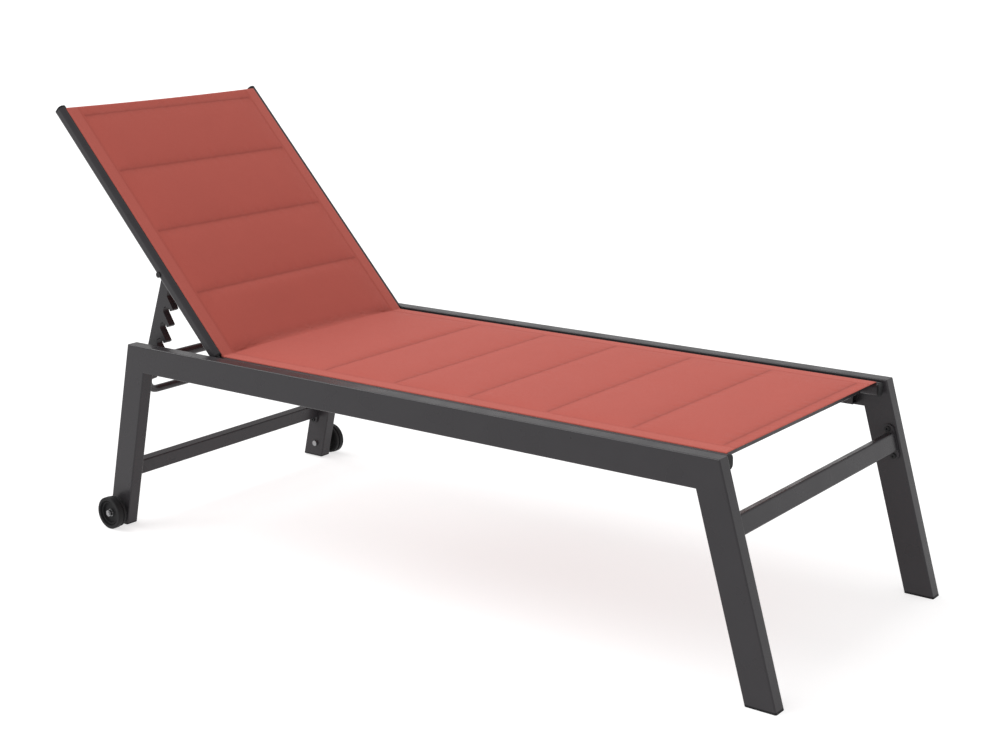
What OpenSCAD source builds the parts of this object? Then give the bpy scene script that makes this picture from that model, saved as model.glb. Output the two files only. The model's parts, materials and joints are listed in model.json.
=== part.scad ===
// Reclining sun lounger: two bent-leg side frames, a quilted sling on a seat and a
// hinged backrest, a notched prop that hangs on a cross bar, and two transport wheels.
// +Z is up, +Y runs from the foot end to the head end, +X is the right side seen
// from the foot end. The origin is under the middle of the whole object, on the floor.

/* [Side frames] */
// Width over the two side frames
frame_w = 634; // [580:1:700]
// Length of the top edge of a side frame
frame_len = 1425; // [1400:1:1450]
// Height of the top edge of the side frames
frame_h = 410; // [395:1:425]
// Depth of the side frame tube, seen from the side
tube_d = 57; // [50:1:60]
// Thickness of the side frame tube, across the lounger
tube_t = 28; // [24:1:30]
// Wall of the side frame tube
tube_wall = 2; // [1.5:0.1:3]
// Corner radius of the side frame tube
tube_r = 3; // [2.5:0.5:5]
// Lean of the foot legs from upright, in degrees
foot_lean = 15.4; // [12:0.1:18]
// Lean of the head legs from upright, in degrees
head_lean = 14.2; // [12:0.1:18]

/* [Leg cross bars] */
// Height of a leg cross bar along the leg
bar_h = 35; // [28:1:40]
// Depth of a leg cross bar across the leg
bar_d = 20; // [16:1:24]
// Distance of the foot cross bar from the top corner, along the leg
foot_bar_s = 117; // [90:1:150]
// Distance of the head cross bar from the top corner, along the leg
head_bar_s = 294; // [260:1:310]
// Distance of both cross bars from the outer face of the leg
bar_inset = 16.5; // [14:0.5:20]

/* [Sling rails] */
// Width of the oval sling rail
sling_w = 19; // [17:0.5:20]
// Depth of the oval sling rail
sling_d = 25; // [24:0.5:28]
// Gap between a sling rail and the side frame
rail_gap = 4; // [3.5:0.5:6]
// Height of the middle of the seat's sling rails
seat_z = 394.5; // [390:0.5:396]

/* [Backrest] */
// Distance of the backrest hinge from the foot end of the side frames
hinge_y = 1188; // [1175:1:1195]
// Length of the backrest from its hinge to the end of its caps
back_len = 665; // [640:1:700]
// Angle of the backrest above level in its highest position, in degrees
back_angle = 47.5; // [45:0.5:50]

/* [Prop] */
// Distance of the prop's pivot from the backrest hinge, along the rail
pivot_u = 230.7; // [225:0.1:235]
// Distance of the prop bar from the foot end of the side frames
prop_bar_y = 1400; // [1395:1:1405]
// Diameter of the prop bar
prop_bar_dia = 20; // [18:0.5:20]
// Distance between neighbouring notches
notch_pitch = 38.2; // [38:0.1:39]
// Number of notches in each prop ladder
notch_count = 4; // [3:1:4]

/* [Wheels] */
// Diameter of a wheel
wheel_dia = 70; // [60:1:75]

/* [Colours] */
// Colour of the powder-coated frame
frame_colour = "#464448";
// Colour of the sling
sling_colour = "#B85A54";
// Colour of the plastic parts
plastic_colour = "#1C1B1D";
// Colour of the bare steel parts
steel_colour = "#B9BABD";

/* [Hidden] */
$fn = 48;

left = -1;
right = 1;
sides = [left, right];
big = 400;                                   // longer than any cut needs
fit = 0.3;                                   // gap between parts that move past each other
side_x = frame_w / 2;                        // outer face of a side frame
inner_x = side_x - tube_t;                   // inner face of a side frame
rail_x = inner_x - rail_gap - sling_w / 2;   // middle of a sling rail
rail_in_x = rail_x - sling_w / 2;            // inner face of a sling rail

// Floor contact
glide_h = 4;                                 // plastic under the foot legs
head_gap = 3;                                // head legs end above the floor
plug_h = 3;                                  // plate of the head leg plug
plug_len = 22;                               // how far plugs reach into a tube
plug_play = 0.4;

// Leg cross bar fittings
plate_t = 4;
plate_h = 70;
plate_w = 23;
bolt_reach = 26.5;                           // bolt to middle of the plate
bolt_r = 3;
insert_r = 4.5;
insert_len = 12;
head_r = 5.2;
head_t = 3.2;

// Sling rail section, in its own plane: X across, Y from underside to top
sling_r = 8;
sling_wall = 1.8;
channel_r = 3.1;                             // round keder channel
channel_x = 3.5;                             // channel to middle, towards the sling
channel_y = sling_d / 2 - 4.6;
channel_slot = 2.2;
keder_r = 2.5;
cap_t = 4;
seat_foot_y = 8;                             // where the seat's rails start
knuckle_gap = 13;                            // hinge axis to the first solid end plate
knuckle_plate = 3;
knuckle_r = 11.5;
knuckle_end = knuckle_gap + knuckle_plate;   // hinge axis to the end of a rail
tongue_t = 6.4;
fork_gap = tongue_t + 2 * 0.2;
fork_ear = 5;
hinge_pin_r = 4;
hinge_play = 0.08;
hinge_head_r = 7;
bolt_head_t = 2.4;

// Sling
sheet_t = 1.2;
sheet_half_w = rail_x - channel_x;
pad_half_w = 238;
pad_below = 6;
pad_above = 2;
sheet_z = sling_d / 2 + fit;                 // underside of the sheet over a rail's middle
seat_cloth_y = 11;                            // foot edge of the sling
back_cloth_end = back_len - 8;
spreader_r = 7.5;
spreader_n = -4.5;
spreader_low_u = 60;
spreader_middle_u = 180;
spreader_top_u = 648;

// Seat spreaders, and the brackets that carry the sling rails
rail_under_z = seat_z - sling_d / 2;         // underside of the seat's sling rails
seat_spreader_d = 25;
seat_spreader_h = 15;
seat_spreader_ys = [55, 600, 1140];          // foot, middle and head
bracket_ys = [76, 560, 1100];
bracket_len = 40;
bracket_size = 23;
bracket_wall = 2.5;
screw_r = 2.5;
screw_head_r = 4.5;
screw_head_t = 2.6;
screw_reach = 8;                             // shank from head to tip

// Prop
pivot_n = -6;
pivot_r = 4;
pivot_play = 0.08;
pivot_head_r = 6;                            // passes the prop bar's flange when flat
ladder_t = 16;
ladder_gap = 4;                              // ladder to sling rail
ladder_x = rail_in_x - ladder_gap - ladder_t / 2;
ladder_back = 13.5;                          // ladder's centre line to its back edge
ladder_front = 11;                           // ladder's centre line to its body's front edge
ladder_foot_front = 16;                      // the same, below the notches
ladder_foot_h = 36;
ladder_foot_cut = 11;                        // chamfer at the ladder's lower end
finger_reach = 17.5;                          // finger past the notch centre, along its direction
finger_root = 25;                            // finger behind the notch centre, into the ladder
finger_r = 3;
ladder_end = 258;
notch_r = prop_bar_dia / 2 + fit;
notch_off = 19.5;                            // notch centre from the ladder's centre line
notch_dir = 52.5;                             // notch direction from the ladder's centre line
prop_bar_z = rail_under_z - 0.5 - prop_bar_dia / 2;
prop_tube_r = 8;
prop_tube_wall = 1.5;
prop_tube_bend = 32;
prop_tube_s = 289;                           // pivot to the straight run of the tube
flange_t = 3;

// Wheels
axle_r = 4;
axle_shift = -4;                             // axle from the leg's centre line
spacer_t = 10.6;
wheel_w = 22;
hub_back = 1.6;                              // hub stands proud of the rim, towards the leg
hub_sink = 8;                                // hub face behind the rim's face
wheel_in_x = side_x + spacer_t + fit;        // inner end of the hub

// Places that follow from the values above
pivot_rest = on_back(pivot_u, pivot_n);
bar_rest = [prop_bar_y, prop_bar_z];
bar_reach = norm(bar_rest - pivot_rest);
notch_last = sqrt(bar_reach * bar_reach - notch_off * notch_off);
notch_first = notch_last - (notch_count - 1) * notch_pitch;
bar_bearing = atan2(bar_rest[0] - pivot_rest[0], pivot_rest[1] - bar_rest[1]);
ladder_lean = bar_bearing + atan2(notch_off, notch_last);
foot_min_y = -frame_h * tan(foot_lean);
back_max_y = on_back(back_len, -sling_d / 2)[0];
mid_y = (foot_min_y + back_max_y) / 2;

// [y, z] of a point on the backrest: u along its rails, n towards its front
function on_back(u, n) = [
  hinge_y + u * cos(back_angle) - n * sin(back_angle),
  seat_z + u * sin(back_angle) + n * cos(back_angle)
];

// Moves the design, which is drawn from the foot end of the side frames, to the origin
module centred() translate([0, -mid_y, 0]) children();

module rounded(w, h, r) {
  square([w - 2 * r, h], center = true);
  square([w, h - 2 * r], center = true);
  for (x = [-1, 1], y = [-1, 1]) translate([x * (w / 2 - r), y * (h / 2 - r)]) circle(r);
}

module hollow(w, h, r, wall) {
  difference() {
    rounded(w, h, r);
    rounded(w - 2 * wall, h - 2 * wall, max(r - wall, 0.5));
  }
}

// An XZ outline run along Y, and a YZ outline run along X
module along_y(y0, y1) translate([0, y1, 0]) rotate([90, 0, 0]) linear_extrude(y1 - y0) children();
module along_x(x0, x1) translate([x0, 0, 0]) rotate([90, 0, 90]) linear_extrude(x1 - x0) children();
module pin_x(x0, x1, r) translate([x0, 0, 0]) rotate([0, 90, 0]) cylinder(h = x1 - x0, r = r);

// Mirrors a part that is drawn on the right side onto the side that is asked for
module on_side(side) {
  if (side == right) children();
  else mirror([1, 0, 0]) children();
}
module both_sides() for (side = sides) on_side(side) children();

// ---- Side frames ----

// Leg space: origin at the top outer corner, X across, Y into the leg from its outer
// face, Z up along the leg
module leg_space(head) {
  if (head) translate([0, frame_len, frame_h]) rotate([head_lean, 0, 0]) mirror([0, 1, 0]) children();
  else translate([0, 0, frame_h]) rotate([-foot_lean, 0, 0]) children();
}

// Everything on the leg's side of a corner's mitre plane, or on the rail's side
module mitre(head, rail_side) {
  lean = head ? head_lean : foot_lean;
  translate([0, head ? frame_len : 0, frame_h])
    mirror([0, head ? 1 : 0, 0])
      rotate([-(90 + lean) / 2, 0, 0])
        translate([-big, -big, rail_side ? 0 : -2 * big])
          cube([3 * big, 2 * big, 2 * big]);
}

module side_rail(side) color(frame_colour) centred() on_side(side) difference() {
  translate([side_x - tube_t / 2, 0, frame_h - tube_d / 2])
    along_y(-10, frame_len + 10) hollow(tube_t, tube_d, tube_r, tube_wall);
  mitre(false, false);
  mitre(true, false);
  bracket_side_screws(screw_r + 0.1);
  prop_bar_shanks(screw_r + 0.1);
}

module leg_bar(w, d, r, s0, s1) {
  translate([side_x - tube_t / 2, tube_d / 2, -s1]) linear_extrude(s1 - s0) rounded(w, d, r);
}

module floor_cut(z) translate([-big, -big, z - big]) cube([2 * big, 3000, big]);

// Axle of the wheels, [y, z]
leg_mid_y = frame_len + (frame_h - wheel_dia / 2) * tan(head_lean) - tube_d / 2 / cos(head_lean);
axle = [leg_mid_y + axle_shift, wheel_dia / 2];

module leg(side, head) {
  bottom = head ? head_gap + plug_h : glide_h;
  bar_s = head ? head_bar_s : foot_bar_s;
  color(frame_colour) centred() on_side(side) difference() {
    leg_space(head) difference() {
      leg_bar(tube_t, tube_d, tube_r, -60, frame_h + 60);
      leg_bar(tube_t - 2 * tube_wall, tube_d - 2 * tube_wall, 1, -80, frame_h + 80);
      for (k = [-1, 1]) translate([0, bar_inset, -bar_s + k * bolt_reach])
        pin_x(inner_x - 1, inner_x + tube_wall + 1, insert_r + 0.05);
    }
    mitre(head, true);
    floor_cut(bottom);
    if (head) translate([0, axle[0], axle[1]]) pin_x(inner_x - 1, side_x + 1, axle_r + 0.2);
    if (head) prop_bar_shanks(screw_r + 0.1);
  }
}

module leg_plug(head) {
  lean = head ? head_lean : foot_lean;
  base_z = head ? head_gap : 0;
  top_z = head ? head_gap + plug_h : glide_h;
  intersection() {
    leg_space(head) leg_bar(tube_t, tube_d, tube_r, 0, frame_h + 60);
    translate([0, -big, base_z]) cube([2 * big, 3000, top_z - base_z]);
  }
  difference() {
    leg_space(head) difference() {
      leg_bar(tube_t - 2 * tube_wall - plug_play, tube_d - 2 * tube_wall - plug_play, 1,
        frame_h / cos(lean) - plug_len, frame_h + 60);
      leg_bar(tube_t - 2 * tube_wall - 6, tube_d - 2 * tube_wall - 6, 1, 0, frame_h + 80);
    }
    floor_cut(top_z);
  }
}

module foot_glide(side) color(plastic_colour) centred() on_side(side) leg_plug(false);
module head_leg_plug(side) color(plastic_colour) centred() on_side(side) leg_plug(true);

// ---- Leg cross bars ----

module bar_space(head) {
  leg_space(head) translate([0, bar_inset, head ? -head_bar_s : -foot_bar_s]) children();
}

module crossbar(head) color(frame_colour) centred() bar_space(head)
  along_x(-inner_x + plate_t, inner_x - plate_t) hollow(bar_d, bar_h, 3, 1.8);

module crossbar_plates(head) color(frame_colour) centred() both_sides() bar_space(head)
  difference() {
    along_x(inner_x - plate_t, inner_x) {
      square([plate_w, plate_h - plate_w], center = true);
      for (k = [-1, 1]) translate([0, k * (plate_h - plate_w) / 2]) circle(plate_w / 2);
    }
    for (k = [-1, 1]) translate([0, 0, k * bolt_reach])
      pin_x(inner_x - plate_t - 1, inner_x + 1, bolt_r + 0.2);
  }

module crossbar_bolts(head) color(plastic_colour) centred() both_sides() bar_space(head)
  for (k = [-1, 1]) translate([0, 0, k * bolt_reach]) difference() {
    union() {
      pin_x(inner_x - plate_t - head_t, inner_x - plate_t, head_r);
      pin_x(inner_x - plate_t - 0.1, inner_x + insert_len, bolt_r);
    }
    translate([inner_x - plate_t - head_t - 1, 0, 0]) rotate([0, 90, 0]) cylinder(h = 3, r = 2.1, $fn = 6);
  }

module crossbar_inserts(head) color(steel_colour) centred() both_sides() bar_space(head)
  for (k = [-1, 1]) translate([0, 0, k * bolt_reach]) difference() {
    pin_x(inner_x, inner_x + insert_len, insert_r);
    pin_x(inner_x - 1, inner_x + insert_len + 1, bolt_r + 0.05);
  }

// ---- Sling rails ----

// Main hollow of the sling rail, below the keder channel
module rail_void(inset) {
  intersection() {
    rounded(sling_w - 2 * inset, sling_d - 2 * inset, sling_r - inset);
    translate([-sling_w, -sling_d]) square([2 * sling_w, sling_d + 3.3 - (inset - sling_wall)]);
  }
}

// Section of the right-hand rail: the sling is on its -X side
module rail_section() {
  difference() {
    rounded(sling_w, sling_d, sling_r);
    rail_void(sling_wall);
    translate([-channel_x, channel_y]) circle(channel_r);
    translate([-channel_x - channel_slot / 2, channel_y]) square([channel_slot, sling_d]);
  }
}

// Backrest space: origin on the hinge axis, Y along the rails, Z towards the front
module back_space() translate([0, hinge_y, seat_z]) rotate([back_angle, 0, 0]) children();

module seat_space() translate([0, 0, seat_z]) children();

module seat_rail(side) color(frame_colour) centred() on_side(side) seat_space() difference() {
  translate([rail_x, 0, 0]) along_y(seat_foot_y, hinge_y - knuckle_end) rail_section();
  for (y = bracket_ys) translate([rail_x, y, -sling_d / 2 - 1]) cylinder(h = 5, r = screw_r + 0.1);
}

module end_cap() {
  along_y(-cap_t, 0) rounded(sling_w, sling_d, sling_r);
  along_y(-0.1, 24) rail_void(sling_wall + 0.2);
}

module seat_rail_caps() color(plastic_colour) centred() both_sides() seat_space()
  translate([rail_x, seat_foot_y, 0]) end_cap();

module keder(y0, y1) color(plastic_colour) translate([rail_x - channel_x, y1, channel_y])
  rotate([90, 0, 0]) cylinder(h = y1 - y0, r = keder_r);

module seat_keder(side) centred() on_side(side) seat_space()
  keder(seat_foot_y + 4, hinge_y - knuckle_end - 4);
module back_keder(side) centred() on_side(side) back_space()
  keder(knuckle_end + 4, back_cloth_end - 4);

// Plain solid of a sling: a thin sheet from rail to rail, with its padded middle
module sling(y0, y1) color(sling_colour) {
  translate([-sheet_half_w, y0, sheet_z]) cube([2 * sheet_half_w, y1 - y0, sheet_t]);
  translate([-pad_half_w, y0, sheet_z - pad_below])
    cube([2 * pad_half_w, y1 - y0, pad_below + sheet_t + pad_above]);
}

module seat_sling() centred() seat_space() sling(seat_cloth_y, hinge_y - knuckle_end);
module back_sling() centred() back_space() sling(knuckle_end, back_cloth_end);

// ---- Seat spreaders and brackets ----

// Cuts the ends of a spreader to the outside of the sling rails
module cope(y0, y1) both_sides() translate([rail_x, 0, 0])
  along_y(y0, y1) rounded(sling_w, sling_d, sling_r);

module seat_spreader(y) color(frame_colour) centred() seat_space() difference() {
  translate([0, y, (seat_spreader_h - sling_d) / 2])
    along_x(-rail_x, rail_x) hollow(seat_spreader_d, seat_spreader_h, 2, 1.6);
  cope(y - seat_spreader_d, y + seat_spreader_d);
}

module support_brackets(side) color(frame_colour) centred() on_side(side) difference() {
  for (y = bracket_ys) translate([inner_x - bracket_size / 2, 0, rail_under_z - bracket_size / 2])
    along_y(y - bracket_len / 2, y + bracket_len / 2) hollow(bracket_size, bracket_size, 2, bracket_wall);
  for (y = bracket_ys) translate([rail_x, y, rail_under_z - bracket_wall - 1])
    cylinder(h = bracket_wall + 2, r = screw_r + 0.1);
  bracket_side_screws(screw_r + 0.1);
}

// Shanks that run sideways from a bracket into the side frame
module bracket_side_screws(r) for (y = bracket_ys) translate([0, y, rail_under_z - bracket_size / 2])
  pin_x(inner_x - bracket_wall - 0.1, inner_x - bracket_wall + screw_reach, r);

module bracket_screws() color(steel_colour) centred() both_sides() {
  bracket_side_screws(screw_r);
  for (y = bracket_ys) {
    translate([0, y, rail_under_z - bracket_size / 2])
      pin_x(inner_x - bracket_wall - screw_head_t, inner_x - bracket_wall, screw_head_r);
    translate([rail_x, y, rail_under_z - bracket_wall - screw_head_t]) {
      cylinder(h = screw_head_t, r = screw_head_r);
      cylinder(h = screw_head_t + screw_reach, r = screw_r);
    }
  }
}

// ---- Backrest hinge ----

module knuckle(thickness, x, reach) {
  along_x(x - thickness / 2, x + thickness / 2) {
    circle(knuckle_r);
    translate([reach > 0 ? 0 : reach, -knuckle_r]) square([abs(reach), 2 * knuckle_r]);
  }
}

module hinge_bore(r) translate([rail_x, 0, 0]) pin_x(-sling_w, sling_w, r);

module seat_hinge_plug(side) color(plastic_colour) centred() on_side(side)
  translate([0, hinge_y, seat_z]) difference() {
    union() {
      knuckle(tongue_t, rail_x, -knuckle_gap - 0.1);
      translate([rail_x, 0, 0]) {
        along_y(-knuckle_end, -knuckle_gap) rounded(sling_w, sling_d, sling_r);
        along_y(-knuckle_end - 30, -knuckle_end + 0.1) rail_void(sling_wall + 0.2);
      }
    }
    hinge_bore(hinge_pin_r + hinge_play);
  }

module back_hinge_fork(side) color(plastic_colour) centred() on_side(side) back_space()
  difference() {
    union() {
      for (k = [-1, 1])
        knuckle(fork_ear, rail_x + k * (fork_gap + fork_ear) / 2, knuckle_gap + 0.1);
      translate([rail_x, 0, 0]) {
        along_y(knuckle_gap, knuckle_end) rounded(sling_w, sling_d, sling_r);
        along_y(knuckle_end - 0.1, knuckle_end + 30) rail_void(sling_wall + 0.2);
      }
    }
    hinge_bore(hinge_pin_r + 0.05);
  }

ear_out = rail_x + fork_gap / 2 + fork_ear;
ear_in = rail_x - fork_gap / 2 - fork_ear;

module hinge_bolts() color(steel_colour) centred() both_sides() translate([0, hinge_y, seat_z]) {
  pin_x(ear_out, ear_out + bolt_head_t, hinge_head_r);
  pin_x(ear_in - 6.5, ear_out + 0.1, hinge_pin_r);
}

module hex_nut(x0, x1, bore, flats) {
  difference() {
    translate([x0, 0, 0]) rotate([0, 90, 0]) cylinder(h = x1 - x0, r = flats / 2 / cos(30), $fn = 6);
    pin_x(x0 - 1, x1 + 1, bore);
  }
}

module hinge_nuts() color(steel_colour) centred() both_sides() translate([0, hinge_y, seat_z])
  hex_nut(ear_in - 5.6, ear_in, hinge_pin_r + 0.02, 13);

// ---- Backrest ----

module pivot_space() back_space() translate([0, pivot_u, pivot_n]) children();

module back_rail(side) color(frame_colour) centred() on_side(side) difference() {
  back_space() translate([rail_x, 0, 0])
    along_y(knuckle_end, back_len - cap_t) rail_section();
  pivot_space() pin_x(rail_in_x - 1, rail_in_x + sling_w + 1, pivot_r + 0.1);
}

module back_rail_caps() color(plastic_colour) centred() both_sides() back_space()
  translate([rail_x, back_len - cap_t, 0]) mirror([0, 1, 0]) end_cap();

module back_spreader(u) color(frame_colour) centred() back_space() difference() {
  translate([0, u, spreader_n]) pin_x(-rail_x, rail_x, spreader_r);
  translate([0, u, spreader_n]) pin_x(-rail_x - 1, rail_x + 1, spreader_r - 1.5);
  cope(u - 2 * spreader_r, u + 2 * spreader_r);
}

// ---- Prop bar ----

module prop_bar_space() translate([0, prop_bar_y, prop_bar_z]) children();

module prop_bar() color(frame_colour) centred() prop_bar_space() difference() {
  pin_x(-inner_x + flange_t, inner_x - flange_t, prop_bar_dia / 2);
  pin_x(-inner_x, inner_x, prop_bar_dia / 2 - 1.8);
}

flange_reach = 17;

module prop_bar_flanges() color(frame_colour) centred() both_sides() prop_bar_space() difference() {
  along_x(inner_x - flange_t, inner_x) {
    square([2 * flange_reach, 20], center = true);
    for (k = [-1, 1]) translate([k * flange_reach, 0]) circle(10);
  }
  for (k = [-1, 1]) translate([0, k * flange_reach, 0])
    pin_x(inner_x - flange_t - 1, inner_x + 1, screw_r + 0.1);
}

module prop_bar_shanks(r) prop_bar_space() for (k = [-1, 1]) translate([0, k * flange_reach, 0])
  pin_x(inner_x - flange_t - 0.1, inner_x - flange_t + screw_reach, r);

module prop_bar_screws() color(steel_colour) centred() both_sides() {
  prop_bar_shanks(screw_r);
  prop_bar_space() for (k = [-1, 1]) translate([0, k * flange_reach, 0])
    pin_x(inner_x - flange_t - screw_head_t, inner_x - flange_t, screw_head_r);
}

// ---- Prop ----

// Ladder space: origin on the pivot, Y towards the teeth, Z up along the ladder
module ladder_space() {
  translate([0, pivot_rest[0], pivot_rest[1]]) rotate([ladder_lean, 0, 0]) mirror([0, 1, 0]) children();
}

// Notch space: origin at the closed end of the notch at distance s, X out along the notch
module notch_space(s) translate([notch_off, -s]) rotate(notch_dir - 90) children();

module ladder_outline() {
  step = notch_pitch * sin(notch_dir);       // notch to notch, square to their direction
  finger_t = step - 2 * notch_r + 0.6;       // the notches trim the fingers to their final width
  difference() {
    union() {
      translate([-ladder_back, -ladder_end + ladder_foot_cut])
        square([ladder_back + ladder_front, ladder_end - ladder_foot_cut]);
      polygon([
        [-ladder_back, ladder_foot_h - ladder_end], [-ladder_back, ladder_foot_cut - ladder_end],
        [ladder_foot_cut - ladder_back, -ladder_end], [ladder_foot_front - ladder_foot_cut, -ladder_end],
        [ladder_foot_front, ladder_foot_cut - ladder_end], [ladder_foot_front, ladder_foot_h - ladder_end]
      ]);
      translate([(ladder_front - ladder_back) / 2, 0]) circle((ladder_front + ladder_back) / 2);
      for (k = [0 : notch_count]) notch_space(notch_first + (k - 0.5) * notch_pitch)
        translate([(finger_reach - finger_root) / 2, 0])
          rounded(finger_reach + finger_root, finger_t, finger_r);
      for (k = [0 : notch_count - 1]) notch_space(notch_first + k * notch_pitch)
        translate([-finger_root + 6, -step / 2]) square([finger_root - 6, step]);
    }
    for (k = [0 : notch_count - 1]) notch_space(notch_first + k * notch_pitch) {
      circle(notch_r);
      translate([0, -notch_r]) square([2 * finger_root, 2 * notch_r]);
    }
  }
}

module prop_ladder(side) color(frame_colour) centred() on_side(side) ladder_space() difference() {
  along_x(ladder_x - ladder_t / 2, ladder_x + ladder_t / 2) ladder_outline();
  pin_x(0, 2 * ladder_x, pivot_r + pivot_play);
  translate([ladder_x, 0, -ladder_end - 1]) cylinder(h = 15, r = prop_tube_r + 0.05);
}

module tube_path(r) {
  straight = ladder_x - prop_tube_bend;
  turn_z = -prop_tube_s + prop_tube_bend;
  translate([0, 0, -prop_tube_s]) pin_x(-straight, straight, r);
  both_sides() {
    translate([ladder_x, 0, turn_z]) cylinder(h = -ladder_end + 13 - turn_z, r = r);
    translate([straight, 0, turn_z]) rotate([90, 0, 0]) rotate([0, 0, -90])
      rotate_extrude(angle = 90) translate([prop_tube_bend, 0]) circle(r);
  }
}

module prop_tube() color(frame_colour) centred() ladder_space() difference() {
  tube_path(prop_tube_r);
  tube_path(prop_tube_r - prop_tube_wall);
}

module prop_pivot_bolts() color(steel_colour) centred() both_sides() pivot_space() {
  pin_x(rail_in_x + sling_w, rail_in_x + sling_w + bolt_head_t, pivot_head_r);
  pin_x(ladder_x - ladder_t / 2 - 8, rail_in_x + sling_w + 0.1, pivot_r);
}

module prop_pivot_spacers() color(plastic_colour) centred() both_sides() pivot_space() difference() {
  pin_x(rail_in_x - ladder_gap + fit, rail_in_x, 8);
  pin_x(rail_in_x - ladder_gap - 1, rail_in_x + 1, pivot_r + 0.05);
}

module prop_pivot_nuts() color(steel_colour) centred() both_sides() pivot_space()
  hex_nut(ladder_x - ladder_t / 2 - 6.8, ladder_x - ladder_t / 2 - fit, pivot_r + 0.02, 13);

// ---- Wheels ----

module axle_space() translate([0, axle[0], axle[1]]) children();

// Half section of a wheel as [radius, distance from the inner end of the hub]
module wheel_section() {
  r = wheel_dia / 2;
  rim = hub_back;
  face = hub_back + wheel_w;
  polygon([
    [axle_r + pivot_play, 0], [9, 0], [9, rim + 3], [r - 9, rim + 3], [r - 8, rim],
    [r - 2.5, rim], [r - 1, rim + 1.5], [r - 1, rim + 6], [r - 3, rim + 7], [r - 3, rim + 9],
    [r, rim + 10], [r, face - 1.5], [r - 1.5, face], [r - 7, face], [r - 8, face - 5],
    [r - 10, face - 5], [r - 10.6, face - 3.5], [r - 13, face - 3.5], [r - 14, face - hub_sink],
    [axle_r + pivot_play, face - hub_sink]
  ]);
}

module wheel(side) color(plastic_colour) centred() on_side(side) axle_space()
  translate([wheel_in_x, 0, 0]) rotate([0, 90, 0]) rotate_extrude($fn = 96) wheel_section();

hub_face_x = wheel_in_x + hub_back + wheel_w - hub_sink;
washer_t = 1.6;

module wheel_bolts() color(steel_colour) centred() both_sides() axle_space() {
  pin_x(inner_x - 5, inner_x, 6.5);
  pin_x(inner_x - 0.1, hub_face_x + fit + washer_t + 8, axle_r);
}

module wheel_spacers() color(plastic_colour) centred() both_sides() axle_space() difference() {
  pin_x(side_x, side_x + spacer_t, 9);
  pin_x(side_x - 1, side_x + spacer_t + 1, axle_r + 0.1);
}

module wheel_washers() color(steel_colour) centred() both_sides() axle_space() difference() {
  pin_x(hub_face_x + fit, hub_face_x + fit + washer_t, 8);
  pin_x(hub_face_x, hub_face_x + fit + washer_t + 1, axle_r + 0.1);
}

module wheel_nuts() color(steel_colour) centred() both_sides() axle_space()
  hex_nut(hub_face_x + fit + washer_t, hub_face_x + fit + washer_t + 6.5, axle_r + 0.02, 13);

side_rail(left);  // side_rail_left
side_rail(right);  // side_rail_right
leg(left, false);  // foot_leg_left
leg(right, false);  // foot_leg_right
leg(left, true);  // head_leg_left
leg(right, true);  // head_leg_right
foot_glide(left);  // foot_glide_left
foot_glide(right);  // foot_glide_right
head_leg_plug(left);  // head_leg_plug_left
head_leg_plug(right);  // head_leg_plug_right
crossbar(false);  // foot_crossbar
crossbar_plates(false);  // foot_crossbar_plates
crossbar_bolts(false);  // foot_crossbar_bolts
crossbar_inserts(false);  // foot_crossbar_inserts
crossbar(true);  // head_crossbar
crossbar_plates(true);  // head_crossbar_plates
crossbar_bolts(true);  // head_crossbar_bolts
crossbar_inserts(true);  // head_crossbar_inserts
seat_spreader(seat_spreader_ys[0]);  // seat_spreader_foot
seat_spreader(seat_spreader_ys[1]);  // seat_spreader_middle
seat_spreader(seat_spreader_ys[2]);  // seat_spreader_head
support_brackets(left);  // support_brackets_left
support_brackets(right);  // support_brackets_right
bracket_screws();
prop_bar();
prop_bar_flanges();
prop_bar_screws();
seat_rail(left);  // seat_rail_left
seat_rail(right);  // seat_rail_right
seat_rail_caps();
seat_hinge_plug(left);  // seat_hinge_plug_left
seat_hinge_plug(right);  // seat_hinge_plug_right
seat_keder(left);  // seat_keder_left
seat_keder(right);  // seat_keder_right
seat_sling();
back_rail(left);  // back_rail_left
back_rail(right);  // back_rail_right
back_rail_caps();
back_spreader(spreader_low_u);  // back_spreader_low
back_spreader(spreader_middle_u);  // back_spreader_middle
back_spreader(spreader_top_u);  // back_spreader_top
back_hinge_fork(left);  // back_hinge_fork_left
back_hinge_fork(right);  // back_hinge_fork_right
hinge_bolts();
hinge_nuts();
back_keder(left);  // back_keder_left
back_keder(right);  // back_keder_right
back_sling();
prop_pivot_bolts();
prop_pivot_spacers();
prop_pivot_nuts();
prop_ladder(left);  // prop_ladder_left
prop_ladder(right);  // prop_ladder_right
prop_tube();
wheel(left);  // wheel_left
wheel(right);  // wheel_right
wheel_bolts();
wheel_spacers();
wheel_washers();
wheel_nuts();
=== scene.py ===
import json
import math

import bpy
import numpy as np
from mathutils import Matrix, Vector
from mathutils.bvhtree import BVHTree


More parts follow.
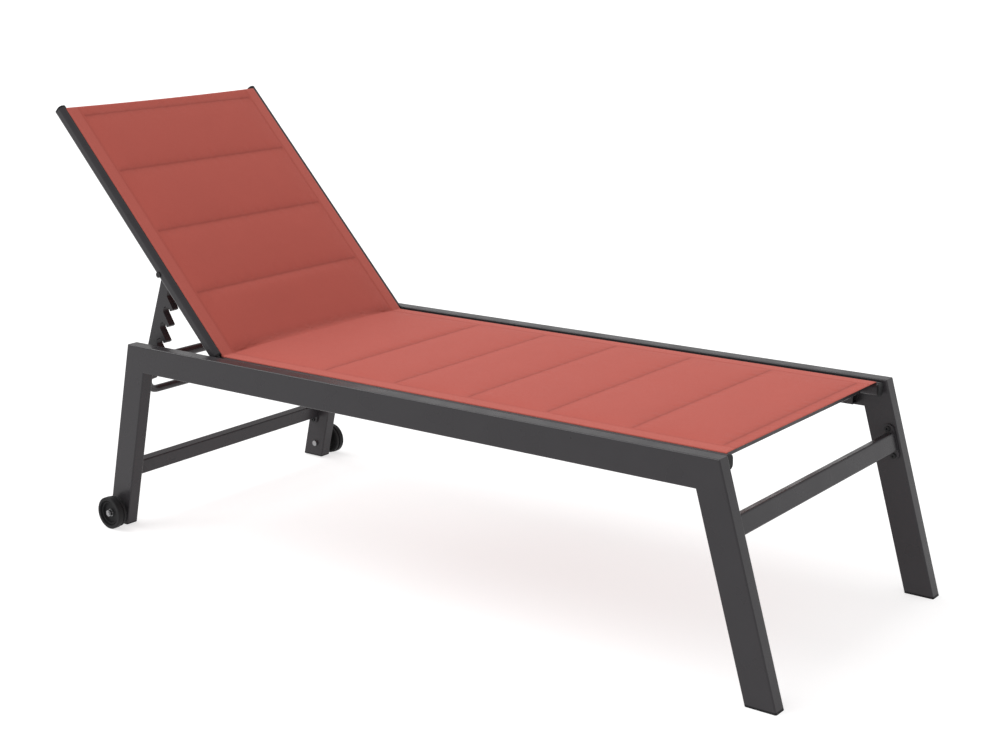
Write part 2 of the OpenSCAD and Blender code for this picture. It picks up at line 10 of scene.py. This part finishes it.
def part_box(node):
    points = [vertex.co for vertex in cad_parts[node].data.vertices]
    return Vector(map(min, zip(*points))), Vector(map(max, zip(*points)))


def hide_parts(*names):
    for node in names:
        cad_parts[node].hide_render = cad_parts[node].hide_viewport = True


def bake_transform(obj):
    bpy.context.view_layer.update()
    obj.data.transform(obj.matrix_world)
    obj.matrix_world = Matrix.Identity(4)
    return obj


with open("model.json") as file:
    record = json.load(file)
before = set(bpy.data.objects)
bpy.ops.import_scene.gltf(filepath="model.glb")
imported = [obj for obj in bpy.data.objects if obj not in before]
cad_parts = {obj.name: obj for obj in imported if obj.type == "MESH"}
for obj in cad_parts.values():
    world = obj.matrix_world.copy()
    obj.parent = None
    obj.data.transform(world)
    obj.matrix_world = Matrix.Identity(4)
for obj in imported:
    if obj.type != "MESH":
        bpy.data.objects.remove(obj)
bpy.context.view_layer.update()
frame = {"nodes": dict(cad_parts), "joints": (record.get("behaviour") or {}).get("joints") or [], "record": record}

# Reclining sun lounger: materials for the CAD parts, the quilted sling with its
# stitching, a pale floor, soft light and the camera. Metres throughout.

# ---------------------------------------------------------------- sling sizes
MM = 0.001
CLOTH_T = 1.5 * MM                # one thickness of the sling's fabric
HEM_EXTRA = 0.8 * MM              # the hems at both ends are folded double
CLOTH_N = 13.85 * MM              # cloth's middle above the rails' centre plane
FOLD_R = 42 * MM                  # bend into the backrest, at the cloth's middle
FOLD_R_EDGE = 6 * MM              # tighter where the rails hold the cloth
FOLD_LOOSE_X = 150 * MM           # the bend starts to tighten here
FOLD_AT = 10 * MM                 # its valley, up the backrest from the hinge
ROLL_X = 270.4 * MM               # where the edge rolls over into the keder slot
ROLL_R = 1.6 * MM
SLOT_N = 8.5 * MM                 # the cloth's edge inside the slot
SEAM_X = 244 * MM                 # long seam beside each rail
PAD_X = 240 * MM                  # half width of the padding
HEM = 26 * MM                     # hem at both ends, to its seam
SEAT_PITCH = 178.2 * MM           # quilting seams of the seat
SEAT_SEAMS = 6
BACK_PITCH = 160.5 * MM           # quilting seams of the backrest, below its hem
BACK_SEAMS = 3
TOP_BOW = 2.5 * MM                # sag of the backrest's top edge
PUFF_CAP = 5.5 * MM               # most that the padding stands proud
PRESSURE = 16                     # air pressure inside the quilted cells
CLOTH_STEPS = 20
CLOTH_QUALITY = 4
HEM_EDGE = 6 * MM                 # the double hem thins out over this
HEM_CLEAR = 3 * MM                # and stops short of the roll into the slot
GATHER = 0.9 * MM                 # height of the small gathers beside a seam
GATHER_WAVES = (19, 29, 43)       # their wavelengths in mm
GATHER_SHIFT = 1.7                # radians that each seam moves its waves by
GATHER_REACH = 16 * MM
GATHER_GAP = 4 * MM
GATHER_FADE = 12 * MM             # they fade out over this beside the long seams
SEAM_LINE = 2.2 * MM              # half widths of the darker line on a seam, the painted shade beside it, the painted shadow band in the fold and the darker line on a long seam
SEAM_PAINTED_SHADE = 9 * MM
FOLD_PAINTED_SHADE = 14 * MM
LONG_LINE = 3 * MM
LINE_DARK = 0.85                  # how dark each of them is
PAINTED_SHADE_DARK = 0.3
FOLD_PAINTED_SHADE_DARK = 0.55
LONG_DARK = 0.3
ROW = 9 * MM                      # spacing of the cloth's grid
FOLD_ROW = 3 * MM
COLUMN = 8 * MM

# ------------------------------------------------------- places, from the frame
hinge_joint = next(j for j in frame["joints"] if j["name"] == "backrest_hinge")
HINGE = Vector(hinge_joint["pos_m"])
LEAN = -math.radians(min(hinge_joint["range_deg"]))
BACK_DIR = Vector((0, math.cos(LEAN), math.sin(LEAN)))
S_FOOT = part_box("seat_sling")[0].y - HINGE.y
S_TOP = max((v.co - HINGE).dot(BACK_DIR) for v in frame["nodes"]["back_sling"].data.vertices)
FOLD_SPAN = (CLOTH_N + FOLD_R) * math.tan(LEAN / 2)
ROLL_LEN = ROLL_R * math.pi / 2
HALF_W = ROLL_X + ROLL_LEN + (CLOTH_N - ROLL_R - SLOT_N)
SEAMS = [S_FOOT + HEM + SEAT_PITCH * k for k in range(SEAT_SEAMS)]
SEAMS += [FOLD_AT]                # a valley, not stitched
SEAMS += [BACK_PITCH * k for k in range(1, BACK_SEAMS + 1)]
SEAMS += [S_TOP - HEM]


def smooth(t):
    """0 to 1 with soft ends."""
    t = np.clip(t, 0, 1)
    return t * t * (3 - 2 * t)


def bell(distance, reach):
    """1 at no distance, falling to almost nothing at twice the reach."""
    return np.exp(-((distance / reach) ** 2))


# ------------------------------------------------------------------ materials
class Nodes:
    """A material's node tree, with short calls for what the finishes share."""

    def __init__(self, name, roughness, metallic=0.0, specular=0.5):
        self.material = bpy.data.materials.new(name)
        self.material.use_nodes = True
        self.tree = self.material.node_tree
        self.shader = self.tree.nodes["Principled BSDF"]
        self.shader.inputs["Roughness"].default_value = roughness
        self.shader.inputs["Metallic"].default_value = metallic
        self.shader.inputs["Specular IOR Level"].default_value = specular
        self.place = self.tree.nodes.new("ShaderNodeTexCoord").outputs["Object"]

    def link(self, source, target):
        self.tree.links.new(source, target)

    def math(self, operation, a, b=0.0, c=0.0):
        node = self.tree.nodes.new("ShaderNodeMath")
        node.operation = operation
        for socket, value in zip(node.inputs, (a, b, c)):
            if isinstance(value, (int, float)):
                socket.default_value = value
            else:
                self.link(value, socket)
        return node.outputs[0]

    def ramp(self, value, low, high, out_low=0.0, out_high=1.0):
        node = self.tree.nodes.new("ShaderNodeMapRange")
        node.interpolation_type = "SMOOTHSTEP"
        self.link(value, node.inputs["Value"])
        limits = {"From Min": low, "From Max": high, "To Min": out_low, "To Max": out_high}
        for name, number in limits.items():
            node.inputs[name].default_value = number
        return node.outputs["Result"]

    def noise(self, size, detail=3.0, stretch=(1, 1, 1)):
        """Noise whose features are about size metres across."""
        mapping = self.tree.nodes.new("ShaderNodeMapping")
        mapping.inputs["Scale"].default_value = stretch
        self.link(self.place, mapping.inputs["Vector"])
        node = self.tree.nodes.new("ShaderNodeTexNoise")
        node.inputs["Scale"].default_value = 1 / size
        node.inputs["Detail"].default_value = detail
        self.link(mapping.outputs[0], node.inputs["Vector"])
        return node.outputs["Fac"]

    def mix(self, factor, a, b):
        node = self.tree.nodes.new("ShaderNodeMix")
        node.data_type = "RGBA"
        self.link(factor, node.inputs["Factor"])
        for socket, value in zip((node.inputs[6], node.inputs[7]), (a, b)):
            if isinstance(value, tuple):
                socket.default_value = (*value, 1)
            else:
                self.link(value, socket)
        return node.outputs[2]

    def bump(self, height, distance, strength=1.0, below=None):
        node = self.tree.nodes.new("ShaderNodeBump")
        node.inputs["Strength"].default_value = strength
        node.inputs["Distance"].default_value = distance
        self.link(height, node.inputs["Height"])
        if below is not None:
            self.link(below, node.inputs["Normal"])
        return node.outputs["Normal"]

    def finish(self, colour, normal, roughness=None):
        self.link(colour, self.shader.inputs["Base Color"])
        self.link(normal, self.shader.inputs["Normal"])
        if roughness is not None:
            self.link(roughness, self.shader.inputs["Roughness"])
        return self.material


def shade(colour, factor):
    return tuple(min(1.0, c * factor) for c in colour)


def moulded(name, colour, grain, roughness, depth, specular):
    """Fine-grained finish: powder coat, moulded plastic or black bolts."""
    m = Nodes(name, roughness, specular=specular)
    patches = m.noise(60 * MM)
    fine = m.noise(grain, 2)
    flecks = m.ramp(fine, 0.62, 0.8, 0, 0.35)
    tone = m.mix(patches, shade(colour, 0.88), shade(colour, 1.12))
    tone = m.mix(flecks, tone, shade(colour, 1.5))
    rough = m.ramp(patches, 0.3, 0.7, roughness - 0.05, roughness + 0.06)
    return m.finish(tone, m.bump(fine, depth), rough)


def plated_steel(name, colour):
    """Zinc plating: fine lines one way, and dull patches."""
    m = Nodes(name, 0.32, metallic=1.0)
    lines = m.noise(1.2 * MM, 2, (1, 1, 9))
    dull = m.noise(4 * MM)
    tone = m.mix(dull, shade(colour, 0.8), shade(colour, 1.15))
    rough = m.ramp(dull, 0.3, 0.7, 0.25, 0.42)
    return m.finish(tone, m.bump(lines, 0.03 * MM), rough)


def woven(name, colour):
    """Coated yarn woven over and under, paler on the strip outside the long seams, darker on the seam lines, with
    painted shade beside the seams and a painted shadow in the fold.
    """
    pitch = 1.3 * MM
    edge_strip = (0.68, 0.26, 0.22)
    m = Nodes(name, 0.78, specular=0.12)
    m.shader.inputs["Sheen Weight"].default_value = 0.06
    m.shader.inputs["Sheen Roughness"].default_value = 0.5
    where = m.tree.nodes.new("ShaderNodeAttribute")
    where.attribute_name = "cloth_at"
    axes = m.tree.nodes.new("ShaderNodeSeparateXYZ")
    m.link(where.outputs["Vector"], axes.inputs[0])
    across, along, seam = axes.outputs
    warp = m.math("SINE", m.math("MULTIPLY", across, 2 * math.pi / pitch))
    weft = m.math("SINE", m.math("MULTIPLY", along, 2 * math.pi / pitch))
    weave = m.math("MULTIPLY_ADD", m.math("MULTIPLY", warp, weft), 0.5, 0.5)
    tone = m.mix(weave, shade(colour, 0.82), shade(colour, 1.14))
    faded = m.mix(m.noise(70 * MM), shade(colour, 0.92), shade(colour, 1.08))
    worn = m.ramp(m.noise(20 * MM), 0.2, 0.9, 0.2, 0.6)
    tone = m.mix(worn, tone, faded)
    strip = m.ramp(m.math("ABSOLUTE", across), SEAM_X, SEAM_X + 3 * MM, 0, 0.07)
    tone = m.mix(strip, tone, edge_strip)
    # darker on the seam lines, with painted shade beside the seams and a painted shadow band in the fold, from the
    # third value of cloth_at
    tone = m.mix(m.math("MULTIPLY", seam, 0.5), tone, shade(colour, 0.45))
    slub = m.noise(2.5 * MM, 3)
    normal = m.bump(slub, 0.2 * MM, 0.5, m.bump(weave, 0.18 * MM, 0.6))
    return m.finish(tone, normal, m.ramp(slub, 0.3, 0.7, 0.66, 0.8))


COATING_TONE = 0.58               # the coating reads lighter under this much soft light
STEEL_TONE = 0.55
GLOSS = 0.24                      # specular levels
PLASTIC_GLOSS = 0.13
BOLT_GLOSS = 0.2


def finishes():
    """One material for each of the record's material slots."""
    record = {entry["slot"]: tuple(entry["base_color"]) for entry in frame["record"]["materials"]}
    coating = shade(record["frame_coating"], COATING_TONE)
    return {
        "frame_coating": moulded("frame_coating", coating, 0.7 * MM, 0.3, 0.04 * MM, GLOSS),
        "sling": woven("sling", record["sling"]),
        "keder": moulded("keder", record["keder"], 0.5 * MM, 0.5, 0.03 * MM, PLASTIC_GLOSS),
        "plastic": moulded("plastic", record["plastic"], 0.6 * MM, 0.5, 0.06 * MM, PLASTIC_GLOSS),
        "wheel": moulded("wheel", record["wheel"], 0.9 * MM, 0.55, 0.08 * MM, PLASTIC_GLOSS),
        "black_bolts": moulded(
            "black_bolts", record["black_bolts"], 0.5 * MM, 0.42, 0.02 * MM, BOLT_GLOSS
        ),
        "steel": plated_steel("steel", shade(record["steel"], STEEL_TONE)),
    }


def paint_cad(materials):
    slots = {part["node"]: part["material_slot"] for part in frame["record"]["subparts"]}
    for name, obj in frame["nodes"].items():
        finish = materials[slots[name]]
        if not obj.material_slots:
            obj.data.materials.append(finish)
        for entry in obj.material_slots:
            entry.material = finish


# ---------------------------------------------------------------------- sling
def surface_point(across, along, lift):
    """Points on the sling: across it, along it from the hinge, and above its middle."""
    held = smooth((np.abs(across) - FOLD_LOOSE_X) / (SEAM_X - FOLD_LOOSE_X))
    radius = FOLD_R + (FOLD_R_EDGE - FOLD_R) * held
    span = (CLOTH_N + radius) * math.tan(LEAN / 2)
    turn = LEAN * np.clip((along + span) / (2 * span), 0, 1)
    y = HINGE.y - span + radius * np.sin(turn)
    z = HINGE.z + CLOTH_N + radius - radius * np.cos(turn)
    straight = np.minimum(along + span, 0) + np.maximum(along - span, 0)
    y = y + straight * np.cos(turn)
    z = z + straight * np.sin(turn)

    # Across the sling the cloth is flat, then rolls over and down into the slot
    reach = np.abs(across)
    roll = np.clip((reach - ROLL_X) / ROLL_R, 0, math.pi / 2)
    flat = np.minimum(reach, ROLL_X)
    down = np.maximum(reach - ROLL_X - ROLL_LEN, 0)
    x = np.sign(across) * (flat + (ROLL_R + lift) * np.sin(roll))
    n = (ROLL_R + lift) * np.cos(roll) - ROLL_R - down
    return np.stack([x, y - n * np.sin(turn), z + n * np.cos(turn)], axis=-1)


def stations(stops, step):
    """Stops joined by steps of about this size, closer together beside each stop."""
    fold_zone = 1.5 * FOLD_SPAN
    evenness = 0.7
    found = [stops[0]]
    for a, b in zip(stops[:-1], stops[1:]):
        near_fold = max(abs(a), abs(b)) <= fold_zone
        count = max(2, math.ceil((b - a) / (FOLD_ROW if near_fold else step)))
        t = np.arange(1, count + 1) / count
        eased = 0.5 - 0.5 * np.cos(math.pi * t)
        found += list(a + (b - a) * (evenness * t + (1 - evenness) * eased))
    return np.array(found)


def seam_distance(along, seams=SEAMS):
    """Distance to the nearest cross seam, or to the fold."""
    return np.min(np.abs(along[..., None] - np.array(seams)), axis=-1)


def sling_grid():
    """The cloth's columns and rows, as one array of each for every grid point."""
    rows = stations(sorted([S_FOOT, -FOLD_SPAN, FOLD_SPAN, S_TOP] + SEAMS), ROW)
    side = stations([0, PAD_X, SEAM_X, ROLL_X], COLUMN)
    roll = ROLL_X + ROLL_LEN * np.array([0.33, 0.67, 1])
    side = np.concatenate([side, roll, [(roll[-1] + HALF_W) / 2, HALF_W]])
    columns = np.concatenate([-side[:0:-1], side])
    along, across = np.meshgrid(rows, columns, indexing="ij")
    near_top = smooth((along - (S_TOP - 2 * HEM)) / (2 * HEM))
    along = along - TOP_BOW * near_top * (1 - np.clip(np.abs(across) / ROLL_X, 0, 1) ** 2)
    return across, along


def sling_mesh():
    """A thin closed slab: an upper and a lower sheet joined round the edge."""
    across, along = sling_grid()
    high, wide = across.shape
    foot_hem = smooth((S_FOOT + HEM - along) / HEM_EDGE)
    top_hem = smooth((along - S_TOP + HEM) / HEM_EDGE)
    in_hem = np.maximum(foot_hem, top_hem)
    half = (CLOTH_T + HEM_EXTRA * in_hem * (np.abs(across) < ROLL_X - HEM_CLEAR)) / 2
    sheets = [surface_point(across, along, s * half).reshape(-1, 3) for s in (1, -1)]
    points = np.concatenate(sheets)
    number = np.arange(high * wide).reshape(high, wide)
    corners = (number[:-1, :-1], number[:-1, 1:], number[1:, 1:], number[1:, :-1])
    top = np.stack([c.ravel() for c in corners], axis=1)
    rim = np.concatenate([number[0, :-1], number[:-1, -1], number[-1, :0:-1], number[:0:-1, 0]])
    wall = np.stack([rim, rim + high * wide, np.roll(rim, -1) + high * wide, np.roll(rim, -1)], axis=1)
    faces = np.concatenate([top, top[:, ::-1] + high * wide, wall])
    mesh = bpy.data.meshes.new("sling_pad")
    mesh.from_pydata(points.tolist(), [], faces.tolist())
    flat = np.zeros((2 * across.size, 3))
    flat[:, 0] = np.tile(across.ravel(), 2)
    flat[:, 1] = np.tile(along.ravel(), 2)
    place = mesh.attributes.new("cloth_at", "FLOAT_VECTOR", "POINT")
    place.data.foreach_set("vector", flat.astype(np.float32).ravel())
    return mesh, flat


def positions(mesh):
    values = np.empty(len(mesh.vertices) * 3, np.float32)
    mesh.vertices.foreach_get("co", values)
    return values.reshape(-1, 3).astype(float)


def set_positions(mesh, points):
    mesh.vertices.foreach_set("co", points.astype(np.float32).ravel())
    mesh.update()


def inflate(obj, flat):
    """Cloth simulation with air pressure inside, held along stitched seams and hems."""
    stitched = [along for along in SEAMS if along != FOLD_AT]
    held = (np.abs(flat[:, 0]) > PAD_X - MM) | (seam_distance(flat[:, 1], stitched) < 0.5 * MM)
    held |= (flat[:, 1] < SEAMS[0]) | (flat[:, 1] > SEAMS[-1])
    group = obj.vertex_groups.new(name="held")
    group.add(np.flatnonzero(held).tolist(), 1.0, "REPLACE")
    rest = positions(obj.data)
    cloth = obj.modifiers.new("Cloth", "CLOTH")
    cloth.settings.vertex_group_mass = "held"
    cloth.settings.use_pressure = True
    cloth.settings.uniform_pressure_force = PRESSURE
    cloth.settings.effector_weights.gravity = 0
    cloth.settings.quality = CLOTH_QUALITY
    scene = bpy.context.scene
    for step in range(1, CLOTH_STEPS + 1):
        scene.frame_set(step)
    swollen = positions(obj.evaluated_get(bpy.context.evaluated_depsgraph_get()).data)
    obj.modifiers.remove(cloth)
    obj.vertex_groups.clear()
    scene.frame_set(1)
    move = swollen - rest
    length = np.linalg.norm(move, axis=1, keepdims=True)
    move *= PUFF_CAP * np.tanh(length / PUFF_CAP) / np.maximum(length, 1e-9)
    set_positions(obj.data, rest + move)


def subdivide(obj):
    modifier = obj.modifiers.new("Smooth", "SUBSURF")
    modifier.levels = modifier.render_levels = 1
    made = bpy.data.meshes.new_from_object(obj.evaluated_get(bpy.context.evaluated_depsgraph_get()))
    obj.modifiers.remove(modifier)
    obj.data = made


def pucker(mesh):
    """Small gathers beside each seam, and for the material how dark each point is: a darker line on each seam,
    painted shade beside it and a painted shadow band in the fold.
    """
    values = np.empty(len(mesh.vertices) * 3, np.float32)
    mesh.attributes["cloth_at"].data.foreach_get("vector", values)
    flat = values.reshape(-1, 3).astype(float)
    across, along = flat[:, 0], flat[:, 1]
    gap = seam_distance(along)
    seam = np.argmin(np.abs(along[:, None] - np.array(SEAMS)), axis=1)
    waves = np.zeros(len(gap))
    for k, length in enumerate(GATHER_WAVES, 1):
        waves += np.sin(2 * math.pi * across / (length * MM) + GATHER_SHIFT * seam * k)
    waves /= len(GATHER_WAVES)
    inside = smooth((PAD_X - np.abs(across)) / GATHER_FADE)
    beside = bell(gap, GATHER_REACH) * (1 - bell(gap, GATHER_GAP))
    lift = GATHER * waves * inside * beside
    set_positions(mesh, positions(mesh) + mesh_normals(mesh) * lift[:, None])
    long_gap = np.abs(np.abs(across) - SEAM_X)
    fold = seam == SEAMS.index(FOLD_AT)
    # A darker thin line on each stitched seam with painted shade beside it, and a broad painted shadow band along
    # the fold's valley instead of a line
    seam_line_and_painted_shade = np.where(fold, 0, LINE_DARK) * bell(gap, SEAM_LINE)
    seam_line_and_painted_shade += np.where(fold, FOLD_PAINTED_SHADE_DARK, PAINTED_SHADE_DARK) * bell(gap, np.where(fold, FOLD_PAINTED_SHADE, SEAM_PAINTED_SHADE))
    seam_line_and_painted_shade = np.minimum(seam_line_and_painted_shade, 1) * (np.abs(across) < PAD_X)
    flat[:, 2] = np.maximum(seam_line_and_painted_shade, LONG_DARK * bell(long_gap, LONG_LINE))
    mesh.attributes["cloth_at"].data.foreach_set("vector", flat.astype(np.float32).ravel())


def mesh_normals(mesh):
    values = np.empty(len(mesh.vertices) * 3, np.float32)
    mesh.vertex_normals.foreach_get("vector", values)
    return values.reshape(-1, 3).astype(float)


def show(name, mesh, material):
    obj = bpy.data.objects.new(name, mesh)
    bpy.context.scene.collection.objects.link(obj)
    mesh.materials.append(material)
    return obj


def across_hinge(obj):
    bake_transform(obj)


def make_sling(material):
    mesh, flat = sling_mesh()
    obj = show("sling_pad", mesh, material)
    inflate(obj, flat)
    subdivide(obj)
    pucker(obj.data)
    for face in obj.data.polygons:
        face.use_smooth = True
    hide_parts("seat_sling", "back_sling")
    return obj


# ------------------------------------------------------------------- stitching
STITCH_PITCH = 4.5 * MM
STITCH_LEN = 3 * MM
STITCH_R = 0.35 * MM
DROP_FROM = 20 * MM               # stitches are dropped on the cloth from here
DASH_SIDES = 6
DASH_RINGS = ((0.0, 0.3), (0.25, 1.0), (0.75, 1.0), (1.0, 0.3))   # place, size


def seam_paths():
    """Ends of every stitched line, as (across, along) pairs."""
    edge = SEAM_X - 2 * MM
    foot, top = S_FOOT + 3 * MM, S_TOP - 5 * MM
    for along in SEAMS:
        hem = along in (SEAMS[0], SEAMS[-1])
        if along != FOLD_AT:
            reach = edge if hem else PAD_X
            yield (-reach, along), (reach, along)
    for side in (-1, 1):
        yield (side * SEAM_X, foot), (side * SEAM_X, top)


def make_stitches(sling, material):
    """Thread dashes that lie on the finished cloth along its seams."""
    tree = BVHTree.FromObject(sling, bpy.context.evaluated_depsgraph_get())
    points, faces = [], []
    for (w0, s0), (w1, s1) in seam_paths():
        count = int(math.hypot(w1 - w0, s1 - s0) / STITCH_PITCH)
        for k in range(count):
            ends = []
            for shift in (-0.5, 0.5):
                t = (k + 0.5 + shift * STITCH_LEN / STITCH_PITCH) / count
                at = np.array([w0 + (w1 - w0) * t]), np.array([s0 + (s1 - s0) * t])
                above = Vector(surface_point(*at, np.array([DROP_FROM]))[0])
                below = Vector(surface_point(*at, np.array([0.0]))[0])
                hit, normal, _, _ = tree.ray_cast(above, (below - above).normalized())
                ends.append((hit, normal))
            if all(hit is not None for hit, _ in ends):
                add_dash(points, faces, ends)
    mesh = bpy.data.meshes.new("sling_stitches")
    mesh.from_pydata(points, [], faces)
    return show("sling_stitches", mesh, material)


def add_dash(points, faces, ends):
    """A spindle between two points on the cloth, half sunk into it."""
    (a, normal), (b, _) = ends
    side = (b - a).normalized().cross(normal)
    first = len(points)
    for t, size in DASH_RINGS:
        centre = a.lerp(b, t)
        for k in range(DASH_SIDES):
            turn = 2 * math.pi * k / DASH_SIDES
            out = normal * math.sin(turn) + side * math.cos(turn)
            points.append(tuple(centre + STITCH_R * size * out))
    last = first + DASH_SIDES * (len(DASH_RINGS) - 1)
    for start in range(first, last, DASH_SIDES):
        for k in range(DASH_SIDES):
            i = start + k
            j = start + (k + 1) % DASH_SIDES
            faces.append((i, j, j + DASH_SIDES, i + DASH_SIDES))
    faces.append(tuple(range(first + DASH_SIDES - 1, first - 1, -1)))
    faces.append(tuple(range(last, last + DASH_SIDES)))


# ------------------------------------------------------- floor, light and camera
FLOOR_GLOW = 0.68                 # the floor's own light, so that the shadow stays pale
FLOOR_HALF = 150.0                # far enough that its edge lies at the horizon
SKY = 0.72                        # strength of the even surround
KEY = 2.0                         # strength of the broad sun
KEY_WIDTH = 50                    # degrees
KEY_AIM = Vector((0.2, -0.55, -0.85))


def make_floor():
    m = Nodes("floor", 0.9, specular=0.1)
    grain = m.noise(0.4)
    tone = m.mix(grain, (0.42, 0.42, 0.42), (0.44, 0.44, 0.44))
    m.shader.inputs["Emission Color"].default_value = (1, 1, 1, 1)
    m.shader.inputs["Emission Strength"].default_value = FLOOR_GLOW
    m.finish(tone, m.bump(grain, 0.1 * MM))
    corners = [(x * FLOOR_HALF, y * FLOOR_HALF, 0) for x, y in ((-1, -1), (1, -1), (1, 1), (-1, 1))]
    mesh = bpy.data.meshes.new("floor")
    mesh.from_pydata(corners, [], [(0, 1, 2, 3)])
    show("floor", mesh, m.material)


def make_light():
    world = bpy.data.worlds.new("studio")
    bpy.context.scene.world = world
    world.use_nodes = True
    world.node_tree.nodes["Background"].inputs["Color"].default_value = (1, 1, 1, 1)
    world.node_tree.nodes["Background"].inputs["Strength"].default_value = SKY
    data = bpy.data.lights.new("soft_key", "SUN")
    data.energy = KEY
    data.angle = math.radians(KEY_WIDTH)
    light = bpy.data.objects.new("soft_key", data)
    light.rotation_euler = KEY_AIM.to_track_quat("-Z", "Y").to_euler()
    bpy.context.scene.collection.objects.link(light)


CAMERA_FROM_HINGE = Vector((-2.5309, -2.4819, 0.8113))   # so it keeps to the hinge
CAMERA_TURN = (51.97, 14.42, -0.99)   # azimuth, downward tilt and roll in degrees
CAMERA_LENS = 60.45
CAMERA_REACH = 400


def make_camera():
    azimuth, elevation, roll = (math.radians(v) for v in CAMERA_TURN)
    ahead = Vector((
        math.sin(azimuth) * math.cos(elevation),
        math.cos(azimuth) * math.cos(elevation),
        -math.sin(elevation),
    ))
    level = Vector((math.cos(azimuth), -math.sin(azimuth), 0))
    upright = level.cross(ahead)
    right = level * math.cos(roll) + upright * math.sin(roll)
    up = upright * math.cos(roll) - level * math.sin(roll)
    data = bpy.data.cameras.new("camera")
    data.lens = CAMERA_LENS
    data.clip_end = CAMERA_REACH
    camera = bpy.data.objects.new("camera", data)
    turned = Matrix((right, up, -ahead)).transposed().to_4x4()
    camera.matrix_world = Matrix.Translation(HINGE + CAMERA_FROM_HINGE) @ turned
    bpy.context.scene.collection.objects.link(camera)
    bpy.context.scene.camera = camera


bpy.context.scene.view_settings.view_transform = "Standard"
materials = finishes()
paint_cad(materials)
sling_obj = make_sling(materials["sling"])
stitches = make_stitches(sling_obj, materials["sling"])
across_hinge(sling_obj)
across_hinge(stitches)
make_floor()
make_light()
make_camera()
